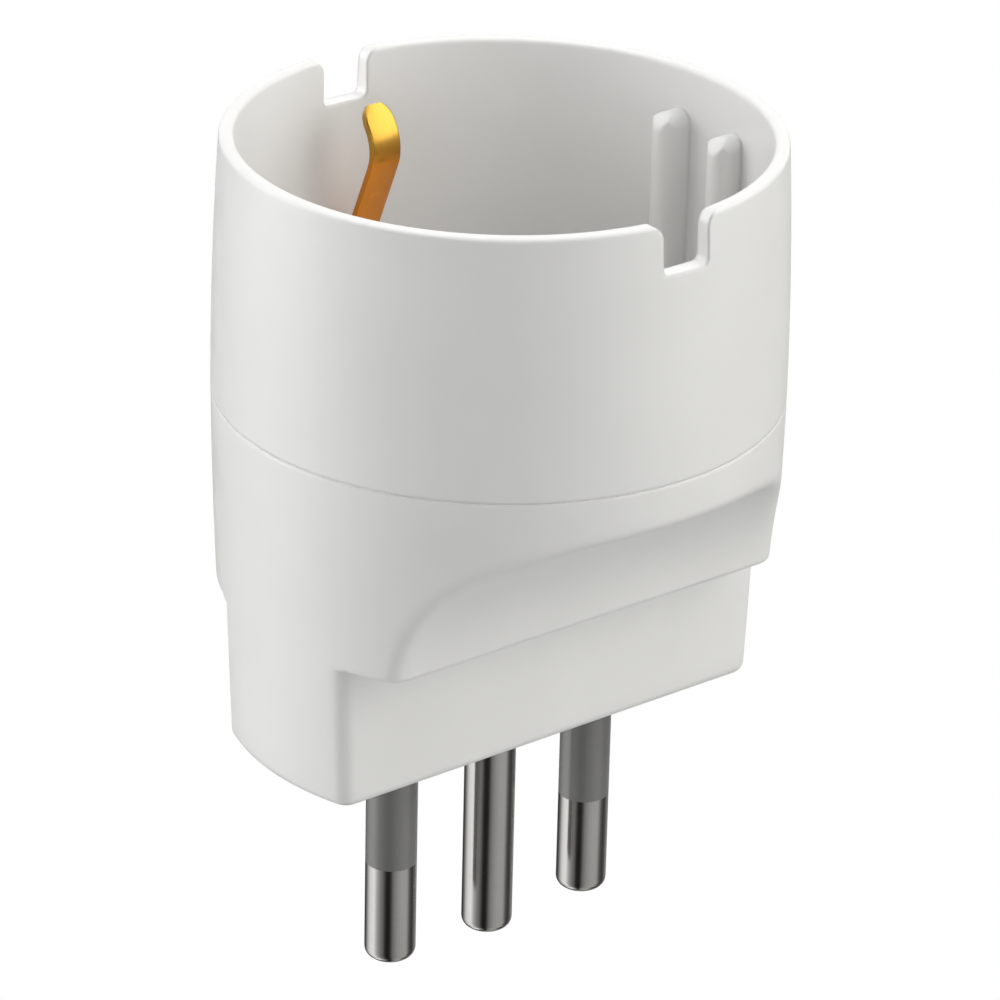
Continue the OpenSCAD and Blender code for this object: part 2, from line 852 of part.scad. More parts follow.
function strap_half() =
  let (r = sheet_t)
  concat(
    [
      [[strap_y, collar_z + sheet_t / 2], r],
      [[strap_y, strap_neck_z], 1.5 * r]
    ],
    [
      for (i = [0:strap_arcs])
        let (a = strap_low_a + (strap_high_a - strap_low_a) * i / strap_arcs)
        [[cove_y - strap_arc_r * cos(a), cove_z + strap_arc_r * sin(a)], 0]
    ],
    [
      [[clip_foot_y, under_z - 0.6], 1.5 * r],
      [[clip_foot_y, floor_z - 0.2], 2 * r],
      [[clip_bend_y, rim_z - clip_bend_depth], clip_bend_r],
      [[clip_fold_y, rim_z - clip_fold_depth], r],
      [[clip_tip_y, rim_z - clip_tip_depth + eps], 0]
    ]
  );

// The sheet's width seen along Y: wide at the rivet, narrow at the clips, with round tips
module strap_front() {
  half = clip_w / 2;
  top = rim_z - clip_tip_depth;
  polygon(
    concat(
      [[-strap_w / 2, collar_z - eps], [strap_w / 2, collar_z - eps], [strap_w / 2, strap_shoulder_z]],
      [[half, strap_neck_z]],
      arc(0, top - half, half, 0, 90),
      arc(0, top - half, half, 90, 180),
      [[-half, strap_neck_z], [-strap_w / 2, strap_shoulder_z]]
    )
  );
}

module earth_strap() {
  half = strap_half();
  last = len(half) - 1;
  path = concat(
    [for (i = [last:-1:0]) [[-half[i][0][0], half[i][0][1]], half[i][1]]],
    half
  );
  color(brass_colour)
    difference() {
      intersection() {
        along_x(strap_w + 1) polygon(sheet_outline(rounded(path), sheet_t));
        along_y(belly_r * 2) strap_front();
      }
      disc(tail_d / 2 + pin_gap, collar_z - eps, rivet_z + eps);
    }
}

// Shutter: a rotor whose two ramps turn it aside when both plug pins press on them

module wing() {
  intersection() {
    disc(wing_r, shutter_bottom_z, shutter_top_z);
    translate([0, 0, shutter_bottom_z])
      linear_extrude(shutter_t)
        polygon([
          [0, 0],
          [wing_r + 1, -(wing_r + 1) * tan(wing_angle)],
          [wing_r + 1, (wing_r + 1) * tan(wing_angle)]
        ]);
  }
}

// Sloping cut that makes a wing's ramp, high on the side that it turns towards
module ramp_cut() {
  low = pole_x * tan(wing_angle);
  translate([pole_x + ramp_side, 0, 0])
    along_x(hole_d + 2.6 * ramp_side)
      polygon([
        [-low - 2 * ramp_side, shutter_bottom_z + ramp_low], [-low, shutter_bottom_z + ramp_low],
        [low, shutter_top_z], [low, shutter_top_z + eps], [-low - 2 * ramp_side, shutter_top_z + eps]
      ]);
}

module shutter() {
  color(shutter_colour)
    difference() {
      union() {
        disc(hub_r, shutter_bottom_z, shutter_top_z);
        disc(stem_r, plate_top_z + shutter_gap / 2, shutter_top_z);
        both_ends() wing();
        translate([peg_x, peg_y, 0]) disc(peg_r, plate_top_z + shutter_gap, shutter_bottom_z + ramp_low / 2);
      }
      disc(pivot_r + pivot_gap, plate_top_z - eps, shutter_top_z + eps);
      both_ends() ramp_cut();
    }
}

// Close-wound torsion spring round the shutter's stem, with two straight legs
module shutter_spring() {
  first_z = plate_top_z + shutter_gap / 2 + wire_d / 2;
  color(steel_colour) {
    rotate_extrude()
      for (i = [0:turns - 1])
        translate([coil_r, first_z + i * wire_d]) circle(d = wire_d + coil_touch, $fn = 24);
    translate([0, -coil_r, first_z]) rotate([0, 90, 0]) cylinder(d = wire_d, h = leg_l, $fn = 24);
    translate([0, coil_r, first_z + (turns - 1) * wire_d])
      rotate([0, 90, 0]) cylinder(d = wire_d, h = leg_l, $fn = 24);
  }
}

module shutter_plate() {
  x = plate_l / 2 - plate_corner_r;
  y = plate_w / 2 - plate_corner_r;
  color(plate_colour) {
    difference() {
      union() {
        box(-plate_l / 2, plate_l / 2, -y, y, plate_bottom_z, plate_top_z);
        box(-x, x, -plate_w / 2, plate_w / 2, plate_bottom_z, plate_top_z);
        for (sx = [-1, 1]) for (sy = [-1, 1])
          translate([sx * x, sy * y, 0]) disc(plate_corner_r, plate_bottom_z, plate_top_z);
      }
      both_ends() translate([pole_x, 0, 0]) disc(plate_hole_r, plate_bottom_z - eps, plate_top_z + eps);
      at_posts() disc(stake_r + pin_gap, plate_bottom_z - eps, plate_top_z + eps);
    }
    translate([peg_x, -peg_y, 0]) disc(peg_r, plate_top_z - plate_t / 2, shutter_bottom_z - shutter_gap);
  }
}

socket_shell();
plug_body();
line_pin();
neutral_pin();
earth_pin();
line_sleeve();
neutral_sleeve();
contact_carrier();
carrier_screws();
line_contact();
neutral_contact();
line_contact_spring();
neutral_contact_spring();
earth_strap();
shutter();
shutter_spring();
shutter_plate();
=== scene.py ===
import math

import bmesh
import bpy
from mathutils import Matrix, Vector


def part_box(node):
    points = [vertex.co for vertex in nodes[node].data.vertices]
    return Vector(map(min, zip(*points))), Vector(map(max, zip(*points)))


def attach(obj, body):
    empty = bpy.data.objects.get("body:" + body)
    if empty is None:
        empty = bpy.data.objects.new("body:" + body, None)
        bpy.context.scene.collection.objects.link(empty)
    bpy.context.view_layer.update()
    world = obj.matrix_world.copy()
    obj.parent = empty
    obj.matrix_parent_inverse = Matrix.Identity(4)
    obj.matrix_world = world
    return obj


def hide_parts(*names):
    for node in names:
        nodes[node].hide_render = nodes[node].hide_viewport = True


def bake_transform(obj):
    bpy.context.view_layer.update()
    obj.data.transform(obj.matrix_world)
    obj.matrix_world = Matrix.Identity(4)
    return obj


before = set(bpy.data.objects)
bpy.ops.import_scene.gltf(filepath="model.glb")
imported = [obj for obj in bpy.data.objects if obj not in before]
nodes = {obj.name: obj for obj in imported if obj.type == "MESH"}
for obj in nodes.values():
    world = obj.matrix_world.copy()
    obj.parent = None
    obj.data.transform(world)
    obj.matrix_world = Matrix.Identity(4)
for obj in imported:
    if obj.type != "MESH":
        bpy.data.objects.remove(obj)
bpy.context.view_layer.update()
scene = bpy.context.scene
scene.view_settings.view_transform = "Standard"


# Sizes that the pieces made here share with the solids, in millimetres

MM = 0.001

# Round body: widest at the seam, drawn in towards the lip
SEAM_Z = 27.1
BELLY_R = 21.59
TAPER = 0.8
TAPER_POWER = 1.5
SEAM_BEVEL = 0.04
LAP_R = 20.725
LAP_Z = 24.5

# Flat block under it
LIP_Z = 11.7
LIP_R = 0.4
HALF_W = 7.55
CORNER_R = 1.4
FOOT_R = 0.9

# Finger coves: a cylinder along X taken off each side, met by the round body in a soft blend
GRIP_W = 23.0
COVE_R = 13.3
COVE_Z = 10.7
COVE_Y = GRIP_W / 2 + math.sqrt(COVE_R ** 2 - (LIP_Z - COVE_Z) ** 2)
COVE_BLEND = 0.8

# Inside
WALL = 1.8
FLOOR_Z = 2.6
CAVITY_Z = LIP_Z + WALL
CHAMBER_R = 18.25
CORE_R = 6.0

# Earth strap
RIM_Z = 47.2
SHEET_T = 0.65
SHEET_EDGE = 0.14
STRAP_GAP = 0.3
STRAP_Y = HALF_W - WALL - STRAP_GAP - SHEET_T / 2
STRAP_ARC_R = COVE_R + WALL + STRAP_GAP + SHEET_T / 2
COLLAR_Z = 4.2
SHOULDER_Z = 12.5
NECK_Z = CAVITY_Z + 1.6
ARC_LOW_Z = CAVITY_Z + 3.6
ARC_HIGH_Z = 24.5
STRAP_HALF_W = 3.0
STRAP_BEND_R = 0.98
CLIP_HALF_W = 1.3
CLIP_FOOT_Y = 19.2
CLIP_TOP_Z = RIM_Z - 2.8


# Small helpers for the node trees

def grey(colour):
    """A colour with alpha from one level or from three."""
    return (*colour, 1.0) if isinstance(colour, tuple) else (colour, colour, colour, 1.0)


def cleared(owner):
    """The owner's node tree, emptied."""
    owner.use_nodes = True
    owner.node_tree.nodes.clear()
    return owner.node_tree


def new_material(name):
    mat = bpy.data.materials.new(name)
    tree = cleared(mat)
    out = tree.nodes.new("ShaderNodeOutputMaterial")
    shader = tree.nodes.new("ShaderNodeBsdfPrincipled")
    tree.links.new(shader.outputs["BSDF"], out.inputs["Surface"])
    coord = tree.nodes.new("ShaderNodeTexCoord")
    return mat, tree, shader, coord.outputs["Object"]


def math_node(tree, operation, *values):
    """A Math node whose inputs are sockets or plain numbers."""
    node = tree.nodes.new("ShaderNodeMath")
    node.operation = operation
    for slot, value in zip(node.inputs, values):
        if isinstance(value, (int, float)):
            slot.default_value = value
        else:
            tree.links.new(value, slot)
    return node.outputs["Value"]


def scaled(tree, vector, scale):
    mapping = tree.nodes.new("ShaderNodeMapping")
    mapping.inputs["Scale"].default_value = scale
    tree.links.new(vector, mapping.inputs["Vector"])
    return mapping.outputs["Vector"]


def noise(tree, vector, scale, detail=2.0, rough=0.5):
    node = tree.nodes.new("ShaderNodeTexNoise")
    node.inputs["Scale"].default_value = scale
    node.inputs["Detail"].default_value = detail
    node.inputs["Roughness"].default_value = rough
    tree.links.new(vector, node.inputs["Vector"])
    return node.outputs["Fac"]


def ramp(tree, value, stops):
    node = tree.nodes.new("ShaderNodeValToRGB")
    points = node.color_ramp.elements
    while len(points) > 1:
        points.remove(points[-1])
    points[0].position, points[0].color = stops[0][0], grey(stops[0][1])
    for at, colour in stops[1:]:
        points.new(at).color = grey(colour)
    tree.links.new(value, node.inputs["Fac"])
    return node.outputs["Color"]


def spread(tree, value, low, high, start=0.3, end=0.7):
    """The value's span from start to end, stretched to low and high."""
    node = tree.nodes.new("ShaderNodeMapRange")
    node.inputs["From Min"].default_value = start
    node.inputs["From Max"].default_value = end
    node.inputs["To Min"].default_value = low
    node.inputs["To Max"].default_value = high
    tree.links.new(value, node.inputs["Value"])
    return node.outputs["Result"]


def bump(tree, shader, height, distance, strength, edge=0.0):
    """Fine relief, over edges that look rounded to the radius edge."""
    node = tree.nodes.new("ShaderNodeBump")
    node.inputs["Distance"].default_value = distance
    node.inputs["Strength"].default_value = strength
    tree.links.new(height, node.inputs["Height"])
    if edge:
        soft = tree.nodes.new("ShaderNodeBevel")
        soft.samples = 6
        soft.inputs["Radius"].default_value = edge
        tree.links.new(soft.outputs["Normal"], node.inputs["Normal"])
    tree.links.new(node.outputs["Normal"], shader.inputs["Normal"])


# Materials

def plastic(name, low, high, rough, edge=0.0, change=0.045, gloss=0.5):
    """Moulded plastic: faint cloudiness, a fine eroded grain and softened edges."""
    mat, tree, shader, at = new_material(name)
    cloud = noise(tree, at, 90.0, 3.0)
    tree.links.new(ramp(tree, cloud, [(0.3, low), (0.7, high)]), shader.inputs["Base Color"])
    fine = noise(tree, at, 9000.0)
    wide = noise(tree, at, 400.0)
    tree.links.new(spread(tree, wide, rough - change, rough + change), shader.inputs["Roughness"])
    shader.inputs["IOR"].default_value = 1.5
    shader.inputs["Specular IOR Level"].default_value = gloss
    bump(tree, shader, fine, 0.012 * MM, 0.6, edge)
    return mat


def metal(name, low, high, rough, stretch, grain=0.006 * MM, change=0.05):
    """Turned, rolled or drawn metal: streaks along one direction."""
    mat, tree, shader, at = new_material(name)
    shader.inputs["Metallic"].default_value = 1.0
    lines = noise(tree, scaled(tree, at, stretch), 1.0, 4.0, 0.65)
    blot = noise(tree, at, 260.0, 3.0)
    share = math_node(tree, "MULTIPLY_ADD", lines, 0.5, math_node(tree, "MULTIPLY", blot, 0.5))
    tree.links.new(ramp(tree, share, [(0.3, low), (0.7, high)]), shader.inputs["Base Color"])
    tree.links.new(spread(tree, blot, rough - change, rough + change), shader.inputs["Roughness"])
    bump(tree, shader, lines, grain, 0.5)
    return mat


def recoloured(mat, colour, low, high, stops):
    """Turns the material into another colour by height, with the stops as its share from low to high."""
    tree = mat.node_tree
    shader = next(n for n in tree.nodes if n.type == "BSDF_PRINCIPLED")
    coord = next(n for n in tree.nodes if n.type == "TEX_COORD")
    parts = tree.nodes.new("ShaderNodeSeparateXYZ")
    tree.links.new(coord.outputs["Object"], parts.inputs["Vector"])
    height = spread(tree, parts.outputs["Z"], 0.0, 1.0, low * MM, high * MM)
    blend = tree.nodes.new("ShaderNodeMix")
    blend.data_type = "RGBA"
    tree.links.new(ramp(tree, height, stops), blend.inputs["Factor"])
    tree.links.new(shader.inputs["Base Color"].links[0].from_socket, blend.inputs["A"])
    blend.inputs["B"].default_value = grey(colour)
    tree.links.new(blend.outputs["Result"], shader.inputs["Base Color"])


white = plastic("white_shell", (0.76, 0.76, 0.752), (0.79, 0.79, 0.782), 0.36, edge=0.45 * MM)
sleeve = plastic("grey_sleeve", (0.165, 0.165, 0.16), (0.18, 0.18, 0.175), 0.2, change=0.01, gloss=1.0)
inner = plastic("inner_plastic", (0.74, 0.74, 0.72), (0.78, 0.78, 0.76), 0.45, edge=0.2 * MM)
plate = plastic("plate_plastic", (0.42, 0.42, 0.41), (0.47, 0.47, 0.46), 0.5, edge=0.2 * MM)
nickel = metal("nickel", (0.61, 0.595, 0.57), (0.67, 0.655, 0.63), 0.16, (300.0, 300.0, 9000.0),
               grain=0.003 * MM, change=0.02)
brass = metal("sheet_brass", (0.42, 0.235, 0.038), (0.50, 0.285, 0.05), 0.26, (9000.0, 500.0, 500.0))
steel = metal("spring_steel", (0.40, 0.40, 0.41), (0.50, 0.50, 0.51), 0.32, (400.0, 400.0, 7000.0))

# Painted light: the white plastic is painted lighter in a narrow band in the joint of the shells, lifting the
# shade that falls between them
recoloured(white, (0.94, 0.94, 0.93), SEAM_Z - 0.01, SEAM_Z + 0.13,
           [(0.0, 0.0), (0.1, 1.0), (0.8, 1.0), (1.0, 0.0)])
# Painted shade: below their bend the clips are painted a darker, more orange brass, standing in for the warmer,
# dimmer reflection on the downward-facing lower legs
recoloured(brass, (0.62, 0.22, 0.028), 40.0, 42.0, [(0.0, 1.0), (1.0, 0.0)])

finish_of = {
    "socket_shell": white, "plug_body": white,
    "line_pin": nickel, "neutral_pin": nickel, "earth_pin": nickel,
    "line_sleeve": sleeve, "neutral_sleeve": sleeve,
    "line_contact": brass, "neutral_contact": brass, "earth_strap": brass,
    "line_contact_spring": steel, "neutral_contact_spring": steel, "shutter_spring": steel,
    "shutter": inner, "shutter_plate": plate, "contact_carrier": plate, "carrier_screws": steel,
}
for name, obj in nodes.items():
    obj.data.materials.clear()
    obj.data.materials.append(finish_of[name])


# Meshes made of rings of points

def mesh_of(name, rings, finish):
    """A closed skin over rings of equally many points in metres, with a cap on the first and the last."""
    n = len(rings[0])
    faces = [
        (j * n + i, j * n + (i + 1) % n, (j + 1) * n + (i + 1) % n, (j + 1) * n + i)
        for j in range(len(rings) - 1) for i in range(n)
    ]
    last = (len(rings) - 1) * n
    faces += [tuple(range(n)), tuple(range(last, last + n))]
    mesh = bpy.data.meshes.new(name)
    mesh.from_pydata([point for ring in rings for point in ring], [], faces)
    bm = bmesh.new()
    bm.from_mesh(mesh)
    bmesh.ops.remove_doubles(bm, verts=bm.verts, dist=0.002 * MM)
    bmesh.ops.recalc_face_normals(bm, faces=bm.faces)
    bm.to_mesh(mesh)
    bm.free()
    mesh.validate()
    mesh.polygons.foreach_set("use_smooth", [True] * len(mesh.polygons))
    mesh.set_sharp_from_angle(angle=math.radians(38))
    obj = bpy.data.objects.new(name, mesh)
    scene.collection.objects.link(obj)
    obj.data.materials.append(finish)
    return obj


# Plug body again, with the soft blends that the moulding has where the coves meet the round body

def side_radius(z):
    return BELLY_R - TAPER * (max(0.0, SEAM_Z - z) / SEAM_Z) ** TAPER_POWER


def smooth_max(a, b, k):
    """The larger of two values, with a soft change from one to the other where they differ by less than k."""
    h = max(k - abs(a - b), 0.0) / k if k else 0.0
    return max(a, b) + h * h * k * 0.25


def round_radius(angle, z, wall=0.0, blend=COVE_BLEND):
    """Radius of the round body at an angle and a height, with the coves taken off it."""
    side = side_radius(z) - wall
    across = abs(math.sin(angle))

    def outside(r):
        cove = COVE_R + wall - math.hypot(r * across - COVE_Y, z - COVE_Z)
        return smooth_max(r - side, cove, blend)

    low, high = CORE_R, side
    if outside(high) <= 0.0:
        return high
    for _ in range(30):
        mid = (low + high) / 2
        if outside(mid) > 0.0:
            high = mid
        else:
            low = mid
    return low


def block_radius(angle, z, inset=0.0):
    """Radius of the flat block: round ends, rounded upright edges and two flat sides."""
    end = side_radius(z)
    corner_y = HALF_W - CORNER_R
    corner_x = math.sqrt((end - CORNER_R) ** 2 - corner_y * corner_y)
    c, s = abs(math.cos(angle)), abs(math.sin(angle))
    if math.atan2(s, c) <= math.atan2(corner_y, corner_x):
        return end - inset
    if s * corner_x >= (HALF_W - inset) * c:
        return (HALF_W - inset) / s
    along = corner_x * c + corner_y * s
    off = corner_x * s - corner_y * c
    return along + math.sqrt(max(0.0, (CORNER_R - inset) ** 2 - off * off))


def quarter_turn(steps):
    """Pairs of (1 - sin, 1 - cos) over a quarter turn, for a rounding from one face to the next."""
    turns = [math.radians(90.0 * i / steps) for i in range(steps + 1)]
    return [(1 - math.sin(t), 1 - math.cos(t)) for t in turns]


def between(low, high, steps):
    """Values from low, left out, to high."""
    return [low + (high - low) * i / steps for i in range(1, steps + 1)]


def plug_rings(angles, middle_r=0.4):
    """Rows of (radius, height) from the middle of the plug face up and round to the inside floor."""
    def same(r, z):
        return [(r, z)] * len(angles)

    # Plug face and block
    rings = [same(middle_r, 0.0)]
    rings.append([(0.5 * block_radius(a, 0.0, FOOT_R), 0.0) for a in angles])
    for aside, rise in quarter_turn(8):
        z = FOOT_R * rise
        rings.append([(block_radius(a, z, FOOT_R * aside), z) for a in angles])
    for z in between(FOOT_R, LIP_Z, 10):
        rings.append([(block_radius(a, z), z) for a in angles])

    # Lip's flat underside, and its rounding where there is room for it
    block = [block_radius(a, LIP_Z) for a in angles]
    reach = [max(0.0, round_radius(a, LIP_Z) - r) for a, r in zip(angles, block)]
    turn = [min(LIP_R, 0.5 * w) for w in reach]
    rings.append([(r + 0.5 * (w - e), LIP_Z) for r, w, e in zip(block, reach, turn)])
    for aside, rise in quarter_turn(6):
        heights = [LIP_Z + e * rise for e in turn]
        rings.append([(round_radius(a, z) - e * aside, z) for a, z, e in zip(angles, heights, turn)])

    # Round body up to the seam, and the lap inside it
    for z in between(LIP_Z + LIP_R, SEAM_Z - SEAM_BEVEL, 61):
        rings.append([(round_radius(a, z), z) for a in angles])
    rings += [same(BELLY_R - SEAM_BEVEL, SEAM_Z), same(LAP_R, SEAM_Z), same(LAP_R, LAP_Z)]

    # Inside, one wall's distance from the outside
    for z in [LAP_Z] + between(LAP_Z, CAVITY_Z, 12):
        rings.append([(round_radius(a, z, WALL, 0.0), z) for a in angles])
    pit = [min((HALF_W - WALL) / max(abs(math.sin(a)), 1e-6), CHAMBER_R) for a in angles]
    for z in [CAVITY_Z] + between(CAVITY_Z, FLOOR_Z, 4):
        rings.append([(r, z) for r in pit])
    rings.append(same(middle_r, FLOOR_Z))
    return rings


def mirrored(quarter):
    """A quarter's row carried on round the full turn."""
    half = quarter + quarter[-2::-1]
    return half + half[-2:0:-1]


def build_plug_skin(corner_x=18.6, coves_from=23.0):
    """Points are closest together between the block's corner and the angle where the coves start."""
    corner = math.degrees(math.atan2(HALF_W - CORNER_R, corner_x))
    degrees = [0.0] + between(0.0, corner, 16) + between(corner, coves_from, 18) + between(coves_from, 90.0, 66)
    quarter = [math.radians(a) for a in degrees]
    half = quarter + [math.pi - a for a in quarter[-2::-1]]
    angles = half + [2 * math.pi - a for a in half[-2:0:-1]]
    rings = [
        [Vector((r * math.cos(a), r * math.sin(a), z)) * MM for a, (r, z) in zip(angles, mirrored(row))]
        for row in plug_rings(quarter)
    ]
    return mesh_of("plug_body_skin", rings, white)


body_skin = build_plug_skin()
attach(body_skin, "housing")
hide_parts("plug_body")


# Earth strap: the same bent strip, with a smooth bend, rounded edges and rounded tips

def unit(a, b):
    d = (b[0] - a[0], b[1] - a[1])
    n = math.hypot(*d)
    return (d[0] / n, d[1] / n)


def bent(path, steps=10):
    """A path of (y, z, bend radius) with its corners turned into arcs."""
    points = []
    for i, (y, z, r) in enumerate(path):
        if r == 0 or i in (0, len(path) - 1):
            points.append((y, z))
            continue
        u, v = unit((y, z), path[i - 1][:2]), unit((y, z), path[i + 1][:2])
        half = math.acos(max(-1.0, min(1.0, u[0] * v[0] + u[1] * v[1]))) / 2
        m = unit((0, 0), (u[0] + v[0], u[1] + v[1]))
        centre = (y + m[0] * r / math.sin(half), z + m[1] * r / math.sin(half))
        reach = r / math.tan(half)
        p, q = (y + u[0] * reach, z + u[1] * reach), (y + v[0] * reach, z + v[1] * reach)
        a0 = math.atan2(p[1] - centre[1], p[0] - centre[0])
        sweep = math.atan2(q[1] - centre[1], q[0] - centre[0]) - a0
        sweep = (sweep + math.pi) % (2 * math.pi) - math.pi
        turns = [a0 + sweep * k / steps for k in range(steps + 1)]
        points += [(centre[0] + r * math.cos(a), centre[1] + r * math.sin(a)) for a in turns]
    return points


def strap_path():
    """Middle of the strip in Y and Z, from one clip's tip down under the rivet and up to the other's."""
    low = math.asin((ARC_LOW_Z - COVE_Z) / STRAP_ARC_R)
    high = math.asin((ARC_HIGH_Z - COVE_Z) / STRAP_ARC_R)
    half = [(STRAP_Y, COLLAR_Z + SHEET_T / 2, SHEET_T), (STRAP_Y, NECK_Z, STRAP_BEND_R)]
    for a in [low] + between(low, high, 12):
        half.append((COVE_Y - STRAP_ARC_R * math.cos(a), COVE_Z + STRAP_ARC_R * math.sin(a), 0))
    half += [
        (CLIP_FOOT_Y, 26.9, STRAP_BEND_R),
        (CLIP_FOOT_Y, 29.5, 2 * SHEET_T),
        (14.15, RIM_Z - 5.9, 3.2),
        (15.75, RIM_Z - 3.6, 0.8),
        (16.65, CLIP_TOP_Z + 0.5, 0),
    ]
    return bent([(-y, z, r) for y, z, r in reversed(half)] + half)


def refined(points, step=0.35):
    """The path with more points, about one step apart."""
    dense = [points[0]]
    for q in points[1:]:
        p = dense[-1]
        n = max(1, int(math.hypot(q[0] - p[0], q[1] - p[1]) / step))
        dense += [(p[0] + (q[0] - p[0]) * t, p[1] + (q[1] - p[1]) * t) for t in between(0.0, 1.0, n)]
    return dense


def strap_half_width(z):
    """Wide over the rivet, narrow past the neck, and round at the clip's tip."""
    if z < SHOULDER_Z:
        return STRAP_HALF_W
    over_tip = z - (CLIP_TOP_Z - CLIP_HALF_W)
    if over_tip > 0.0:
        return math.sqrt(max(1e-4, CLIP_HALF_W ** 2 - over_tip ** 2))
    narrowing = max(0.0, (NECK_Z - z) / (NECK_Z - SHOULDER_Z))
    return CLIP_HALF_W + (STRAP_HALF_W - CLIP_HALF_W) * narrowing


def strip_section(half_w, half_t, edge):
    """Points round a rectangle with rounded corners, as (along X, across the sheet)."""
    section = []
    for sx, sy in ((1, 1), (-1, 1), (-1, -1), (1, -1)):
        for k in ((0, 1, 2, 3) if sx == sy else (3, 2, 1, 0)):
            a = math.radians(30.0 * k)
            x, o = half_w - edge * (1 - math.cos(a)), half_t - edge * (1 - math.sin(a))
            section.append((sx * x, sy * o))
    return section


def build_strap():
    middle = [p for p in refined(strap_path()) if p[1] < CLIP_TOP_Z - 0.01]
    rings = []
    for i, (y, z) in enumerate(middle):
        along = unit(middle[max(i - 1, 0)], middle[min(i + 1, len(middle) - 1)])
        half_w = strap_half_width(z)
        section = strip_section(half_w, SHEET_T / 2, min(SHEET_EDGE, half_w * 0.5))
        rings.append([Vector((x, y - along[1] * o, z + along[0] * o)) * MM for x, o in section])
    return mesh_of("earth_strap_bent", rings, brass)


strap = build_strap()
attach(strap, "housing")
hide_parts("earth_strap")


# Shutter spring: the wound wire itself, which twists between the plate's side and the shutter

def build_spring(wire=0.5 * MM, around=10, leg_steps=4, steps_a_turn=40):
    """A coil with a straight leg at each end. Its wire is a little thinner than the pitch."""
    wire_r = 0.46 * wire
    low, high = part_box("shutter_spring")
    coil_r, z0, z1 = high.y - wire / 2, low.z + wire / 2, high.z - wire / 2
    turns = round((high.z - low.z) / wire)
    sweep = math.pi * (2 * turns - 1)
    path = [Vector((high.x * (1 - k / leg_steps), -coil_r, z0)) for k in range(leg_steps)]
    steps = steps_a_turn * turns
    for k in range(steps + 1):
        a = -math.pi / 2 - sweep * k / steps
        path.append(Vector((coil_r * math.cos(a), coil_r * math.sin(a), z0 + (z1 - z0) * k / steps)))
    path += [Vector((high.x * k / leg_steps, coil_r, z1)) for k in range(1, leg_steps + 1)]
    rings = []
    for i, at in enumerate(path):
        along = (path[min(i + 1, len(path) - 1)] - path[max(i - 1, 0)]).normalized()
        side = along.cross(Vector((0, 0, 1))).normalized()
        over = side.cross(along)
        turn = [2 * math.pi * k / around for k in range(around)]
        rings.append([at + (side * math.cos(a) + over * math.sin(a)) * wire_r for a in turn])
    obj = mesh_of("shutter_spring_wound", rings, steel)
    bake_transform(obj)
    return obj


spring = build_spring()
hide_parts("shutter_spring")


# Camera as fitted to the photo, which is 1000 pixels wide and high

PHOTO_PX = 1000.0
FOCAL_PX = 4932.87
ORIGIN_PX = (491.36, 702.89)
SENSOR_MM = 36.0
depth = 0.38147
azimuth, elevation, roll = math.radians(-38.32), math.radians(25.23), math.radians(1.35)

level_back = Vector((math.sin(azimuth), -math.cos(azimuth), 0.0))
back = level_back * math.cos(elevation) + Vector((0.0, 0.0, math.sin(elevation)))
level_right = Vector((math.cos(azimuth), math.sin(azimuth), 0.0))
level_up = back.cross(level_right)
right = math.cos(roll) * level_right + math.sin(roll) * level_up
up = -math.sin(roll) * level_right + math.cos(roll) * level_up
across, down = ((px - PHOTO_PX / 2) / FOCAL_PX * depth for px in ORIGIN_PX)
place = -(right * across - up * down - back * depth)

lens = bpy.data.cameras.new("photo_camera")
lens.sensor_width = SENSOR_MM
lens.lens = FOCAL_PX / PHOTO_PX * SENSOR_MM
lens.clip_start = 0.01
lens.clip_end = 20.0
camera = bpy.data.objects.new("photo_camera", lens)
turned = Matrix((right, up, back)).transposed().to_4x4()
camera.matrix_world = Matrix.Translation(place) @ turned
scene.collection.objects.link(camera)
scene.camera = camera


# Light: a soft box on each side, a dim low front and a wide box above

def soft_box(name, where, size, power, tint=(1.0, 1.0, 1.0)):
    lamp = bpy.data.lights.new(name, "AREA")
    lamp.shape = "RECTANGLE"
    lamp.size, lamp.size_y = size
    lamp.energy = power
    lamp.color = tint
    obj = bpy.data.objects.new(name, lamp)
    obj.location = where
    middle = Vector((0.0, 0.0, 0.02))
    obj.rotation_euler = (middle - where).to_track_quat("-Z", "Y").to_euler()
    scene.collection.objects.link(obj)


soft_box("left_box", -right * 0.75 - back * 0.04 + Vector((0, 0, 0.10)), (0.55, 0.8), 5.7)
soft_box("right_box", right * 0.74 + back * 0.11 + Vector((0, 0, 0.32)), (0.75, 0.9), 5.7, (1.0, 0.99, 0.95))
soft_box("front_fill", Vector((back.x, back.y, 0.21)), (0.9, 0.3), 1.45)
soft_box("top_box", Vector((0.0, 0.1, 0.9)), (1.2, 1.2), 7.3)


# Studio that the rays meet

# Levels over the angle about the upright axis. 0.5 is the camera's side, and 0 and 1 are behind the object.
# Downward rays meet white cards and black flags, which make the upright streaks on the pins.
CARDS = [
    (0.000, 0.25), (0.060, 0.04), (0.105, 0.05), (0.150, 0.24), (0.185, 0.62), (0.225, 0.98), (0.290, 1.15),
    (0.325, 0.60), (0.365, 0.32), (0.410, 0.16), (0.440, 0.02), (0.480, 0.015), (0.500, 0.04), (0.530, 0.22),
    (0.580, 0.38), (0.640, 0.47), (0.712, 0.47), (0.742, 0.24), (0.765, 0.10), (0.815, 0.05), (0.850, 0.12),
    (0.900, 0.30), (1.000, 0.25),
]
# Upward rays meet a backdrop that is bright behind the object.
BACKDROP = [(0.00, 1.5), (0.20, 1.2), (0.32, 0.3), (0.68, 0.3), (0.80, 1.2), (1.00, 1.5)]


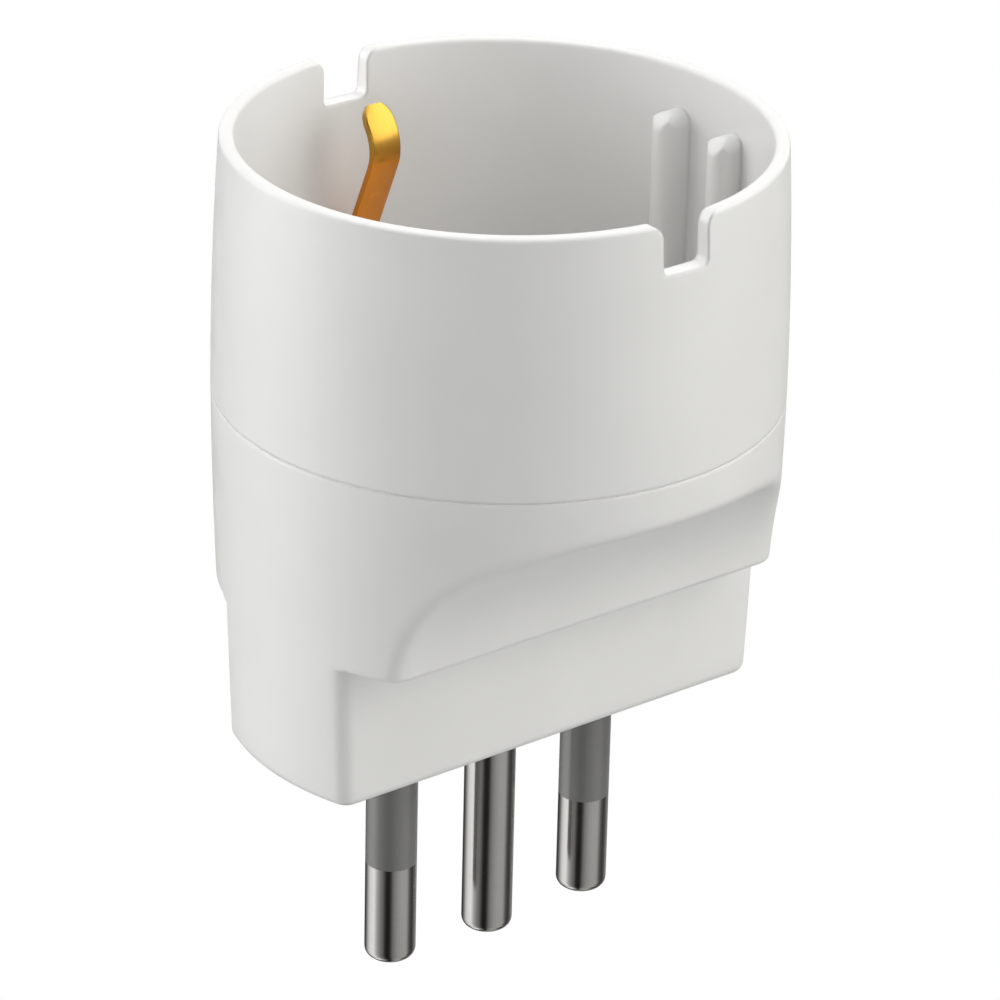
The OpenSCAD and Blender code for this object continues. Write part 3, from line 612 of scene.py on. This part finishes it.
def round_levels(tree, direction, stops):
    """Levels over the angle of a direction, counted from the camera's side."""
    turn = tree.nodes.new("ShaderNodeVectorRotate")
    turn.rotation_type = "Z_AXIS"
    turn.inputs["Angle"].default_value = -azimuth
    tree.links.new(direction, turn.inputs["Vector"])
    parts = tree.nodes.new("ShaderNodeSeparateXYZ")
    tree.links.new(turn.outputs["Vector"], parts.inputs["Vector"])
    towards = math_node(tree, "MULTIPLY", parts.outputs["Y"], -1.0)
    angle = math_node(tree, "ARCTAN2", parts.outputs["X"], towards)
    return ramp(tree, math_node(tree, "MULTIPLY_ADD", angle, 0.5 / math.pi, 0.5), stops)


def giving_light(tree, kind, colour, strength=1.0):
    """Output of a node that gives light, in a colour that is a level or a socket."""
    node = tree.nodes.new(kind)
    node.inputs["Strength"].default_value = strength
    if isinstance(colour, float):
        node.inputs["Color"].default_value = grey(colour)
    else:
        tree.links.new(colour, node.inputs["Color"])
    return node.outputs[0]


def mixed(tree, factor, first, second):
    node = tree.nodes.new("ShaderNodeMixShader")
    tree.links.new(factor, node.inputs["Fac"])
    tree.links.new(first, node.inputs[1])
    tree.links.new(second, node.inputs[2])
    return node.outputs["Shader"]


def by_ray(tree, output, rest, cards, seen):
    """The camera meets the seen shader, glossy rays the cards, and all other rays the rest."""
    path = tree.nodes.new("ShaderNodeLightPath")
    unseen = mixed(tree, path.outputs["Is Glossy Ray"], rest, cards)
    surface = mixed(tree, path.outputs["Is Camera Ray"], unseen, seen)
    tree.links.new(surface, tree.nodes.new(output).inputs["Surface"])


def coordinate(tree, kind):
    return tree.nodes.new("ShaderNodeTexCoord").outputs[kind]


world = bpy.data.worlds.new("studio")
scene.world = world
tree = cleared(world)
cards = round_levels(tree, coordinate(tree, "Generated"), BACKDROP)
by_ray(
    tree, "ShaderNodeOutputWorld",
    rest=giving_light(tree, "ShaderNodeBackground", 1.0, 0.15),
    cards=giving_light(tree, "ShaderNodeBackground", cards),
    seen=giving_light(tree, "ShaderNodeBackground", 1.0),
)


# Floor, well under the pins, since the part is held by them

bpy.ops.mesh.primitive_plane_add(size=6.0, location=(0.0, 0.0, -0.12))
floor = bpy.context.object
floor.name = "floor"
floor_white = bpy.data.materials.new("floor_white")
tree = cleared(floor_white)
cards = round_levels(tree, coordinate(tree, "Object"), CARDS)
matt = tree.nodes.new("ShaderNodeBsdfDiffuse")
matt.inputs["Color"].default_value = grey(0.52)
by_ray(
    tree, "ShaderNodeOutputMaterial",
    rest=matt.outputs["BSDF"],
    cards=giving_light(tree, "ShaderNodeEmission", cards),
    seen=giving_light(tree, "ShaderNodeEmission", 1.0),
)
floor.data.materials.append(floor_white)
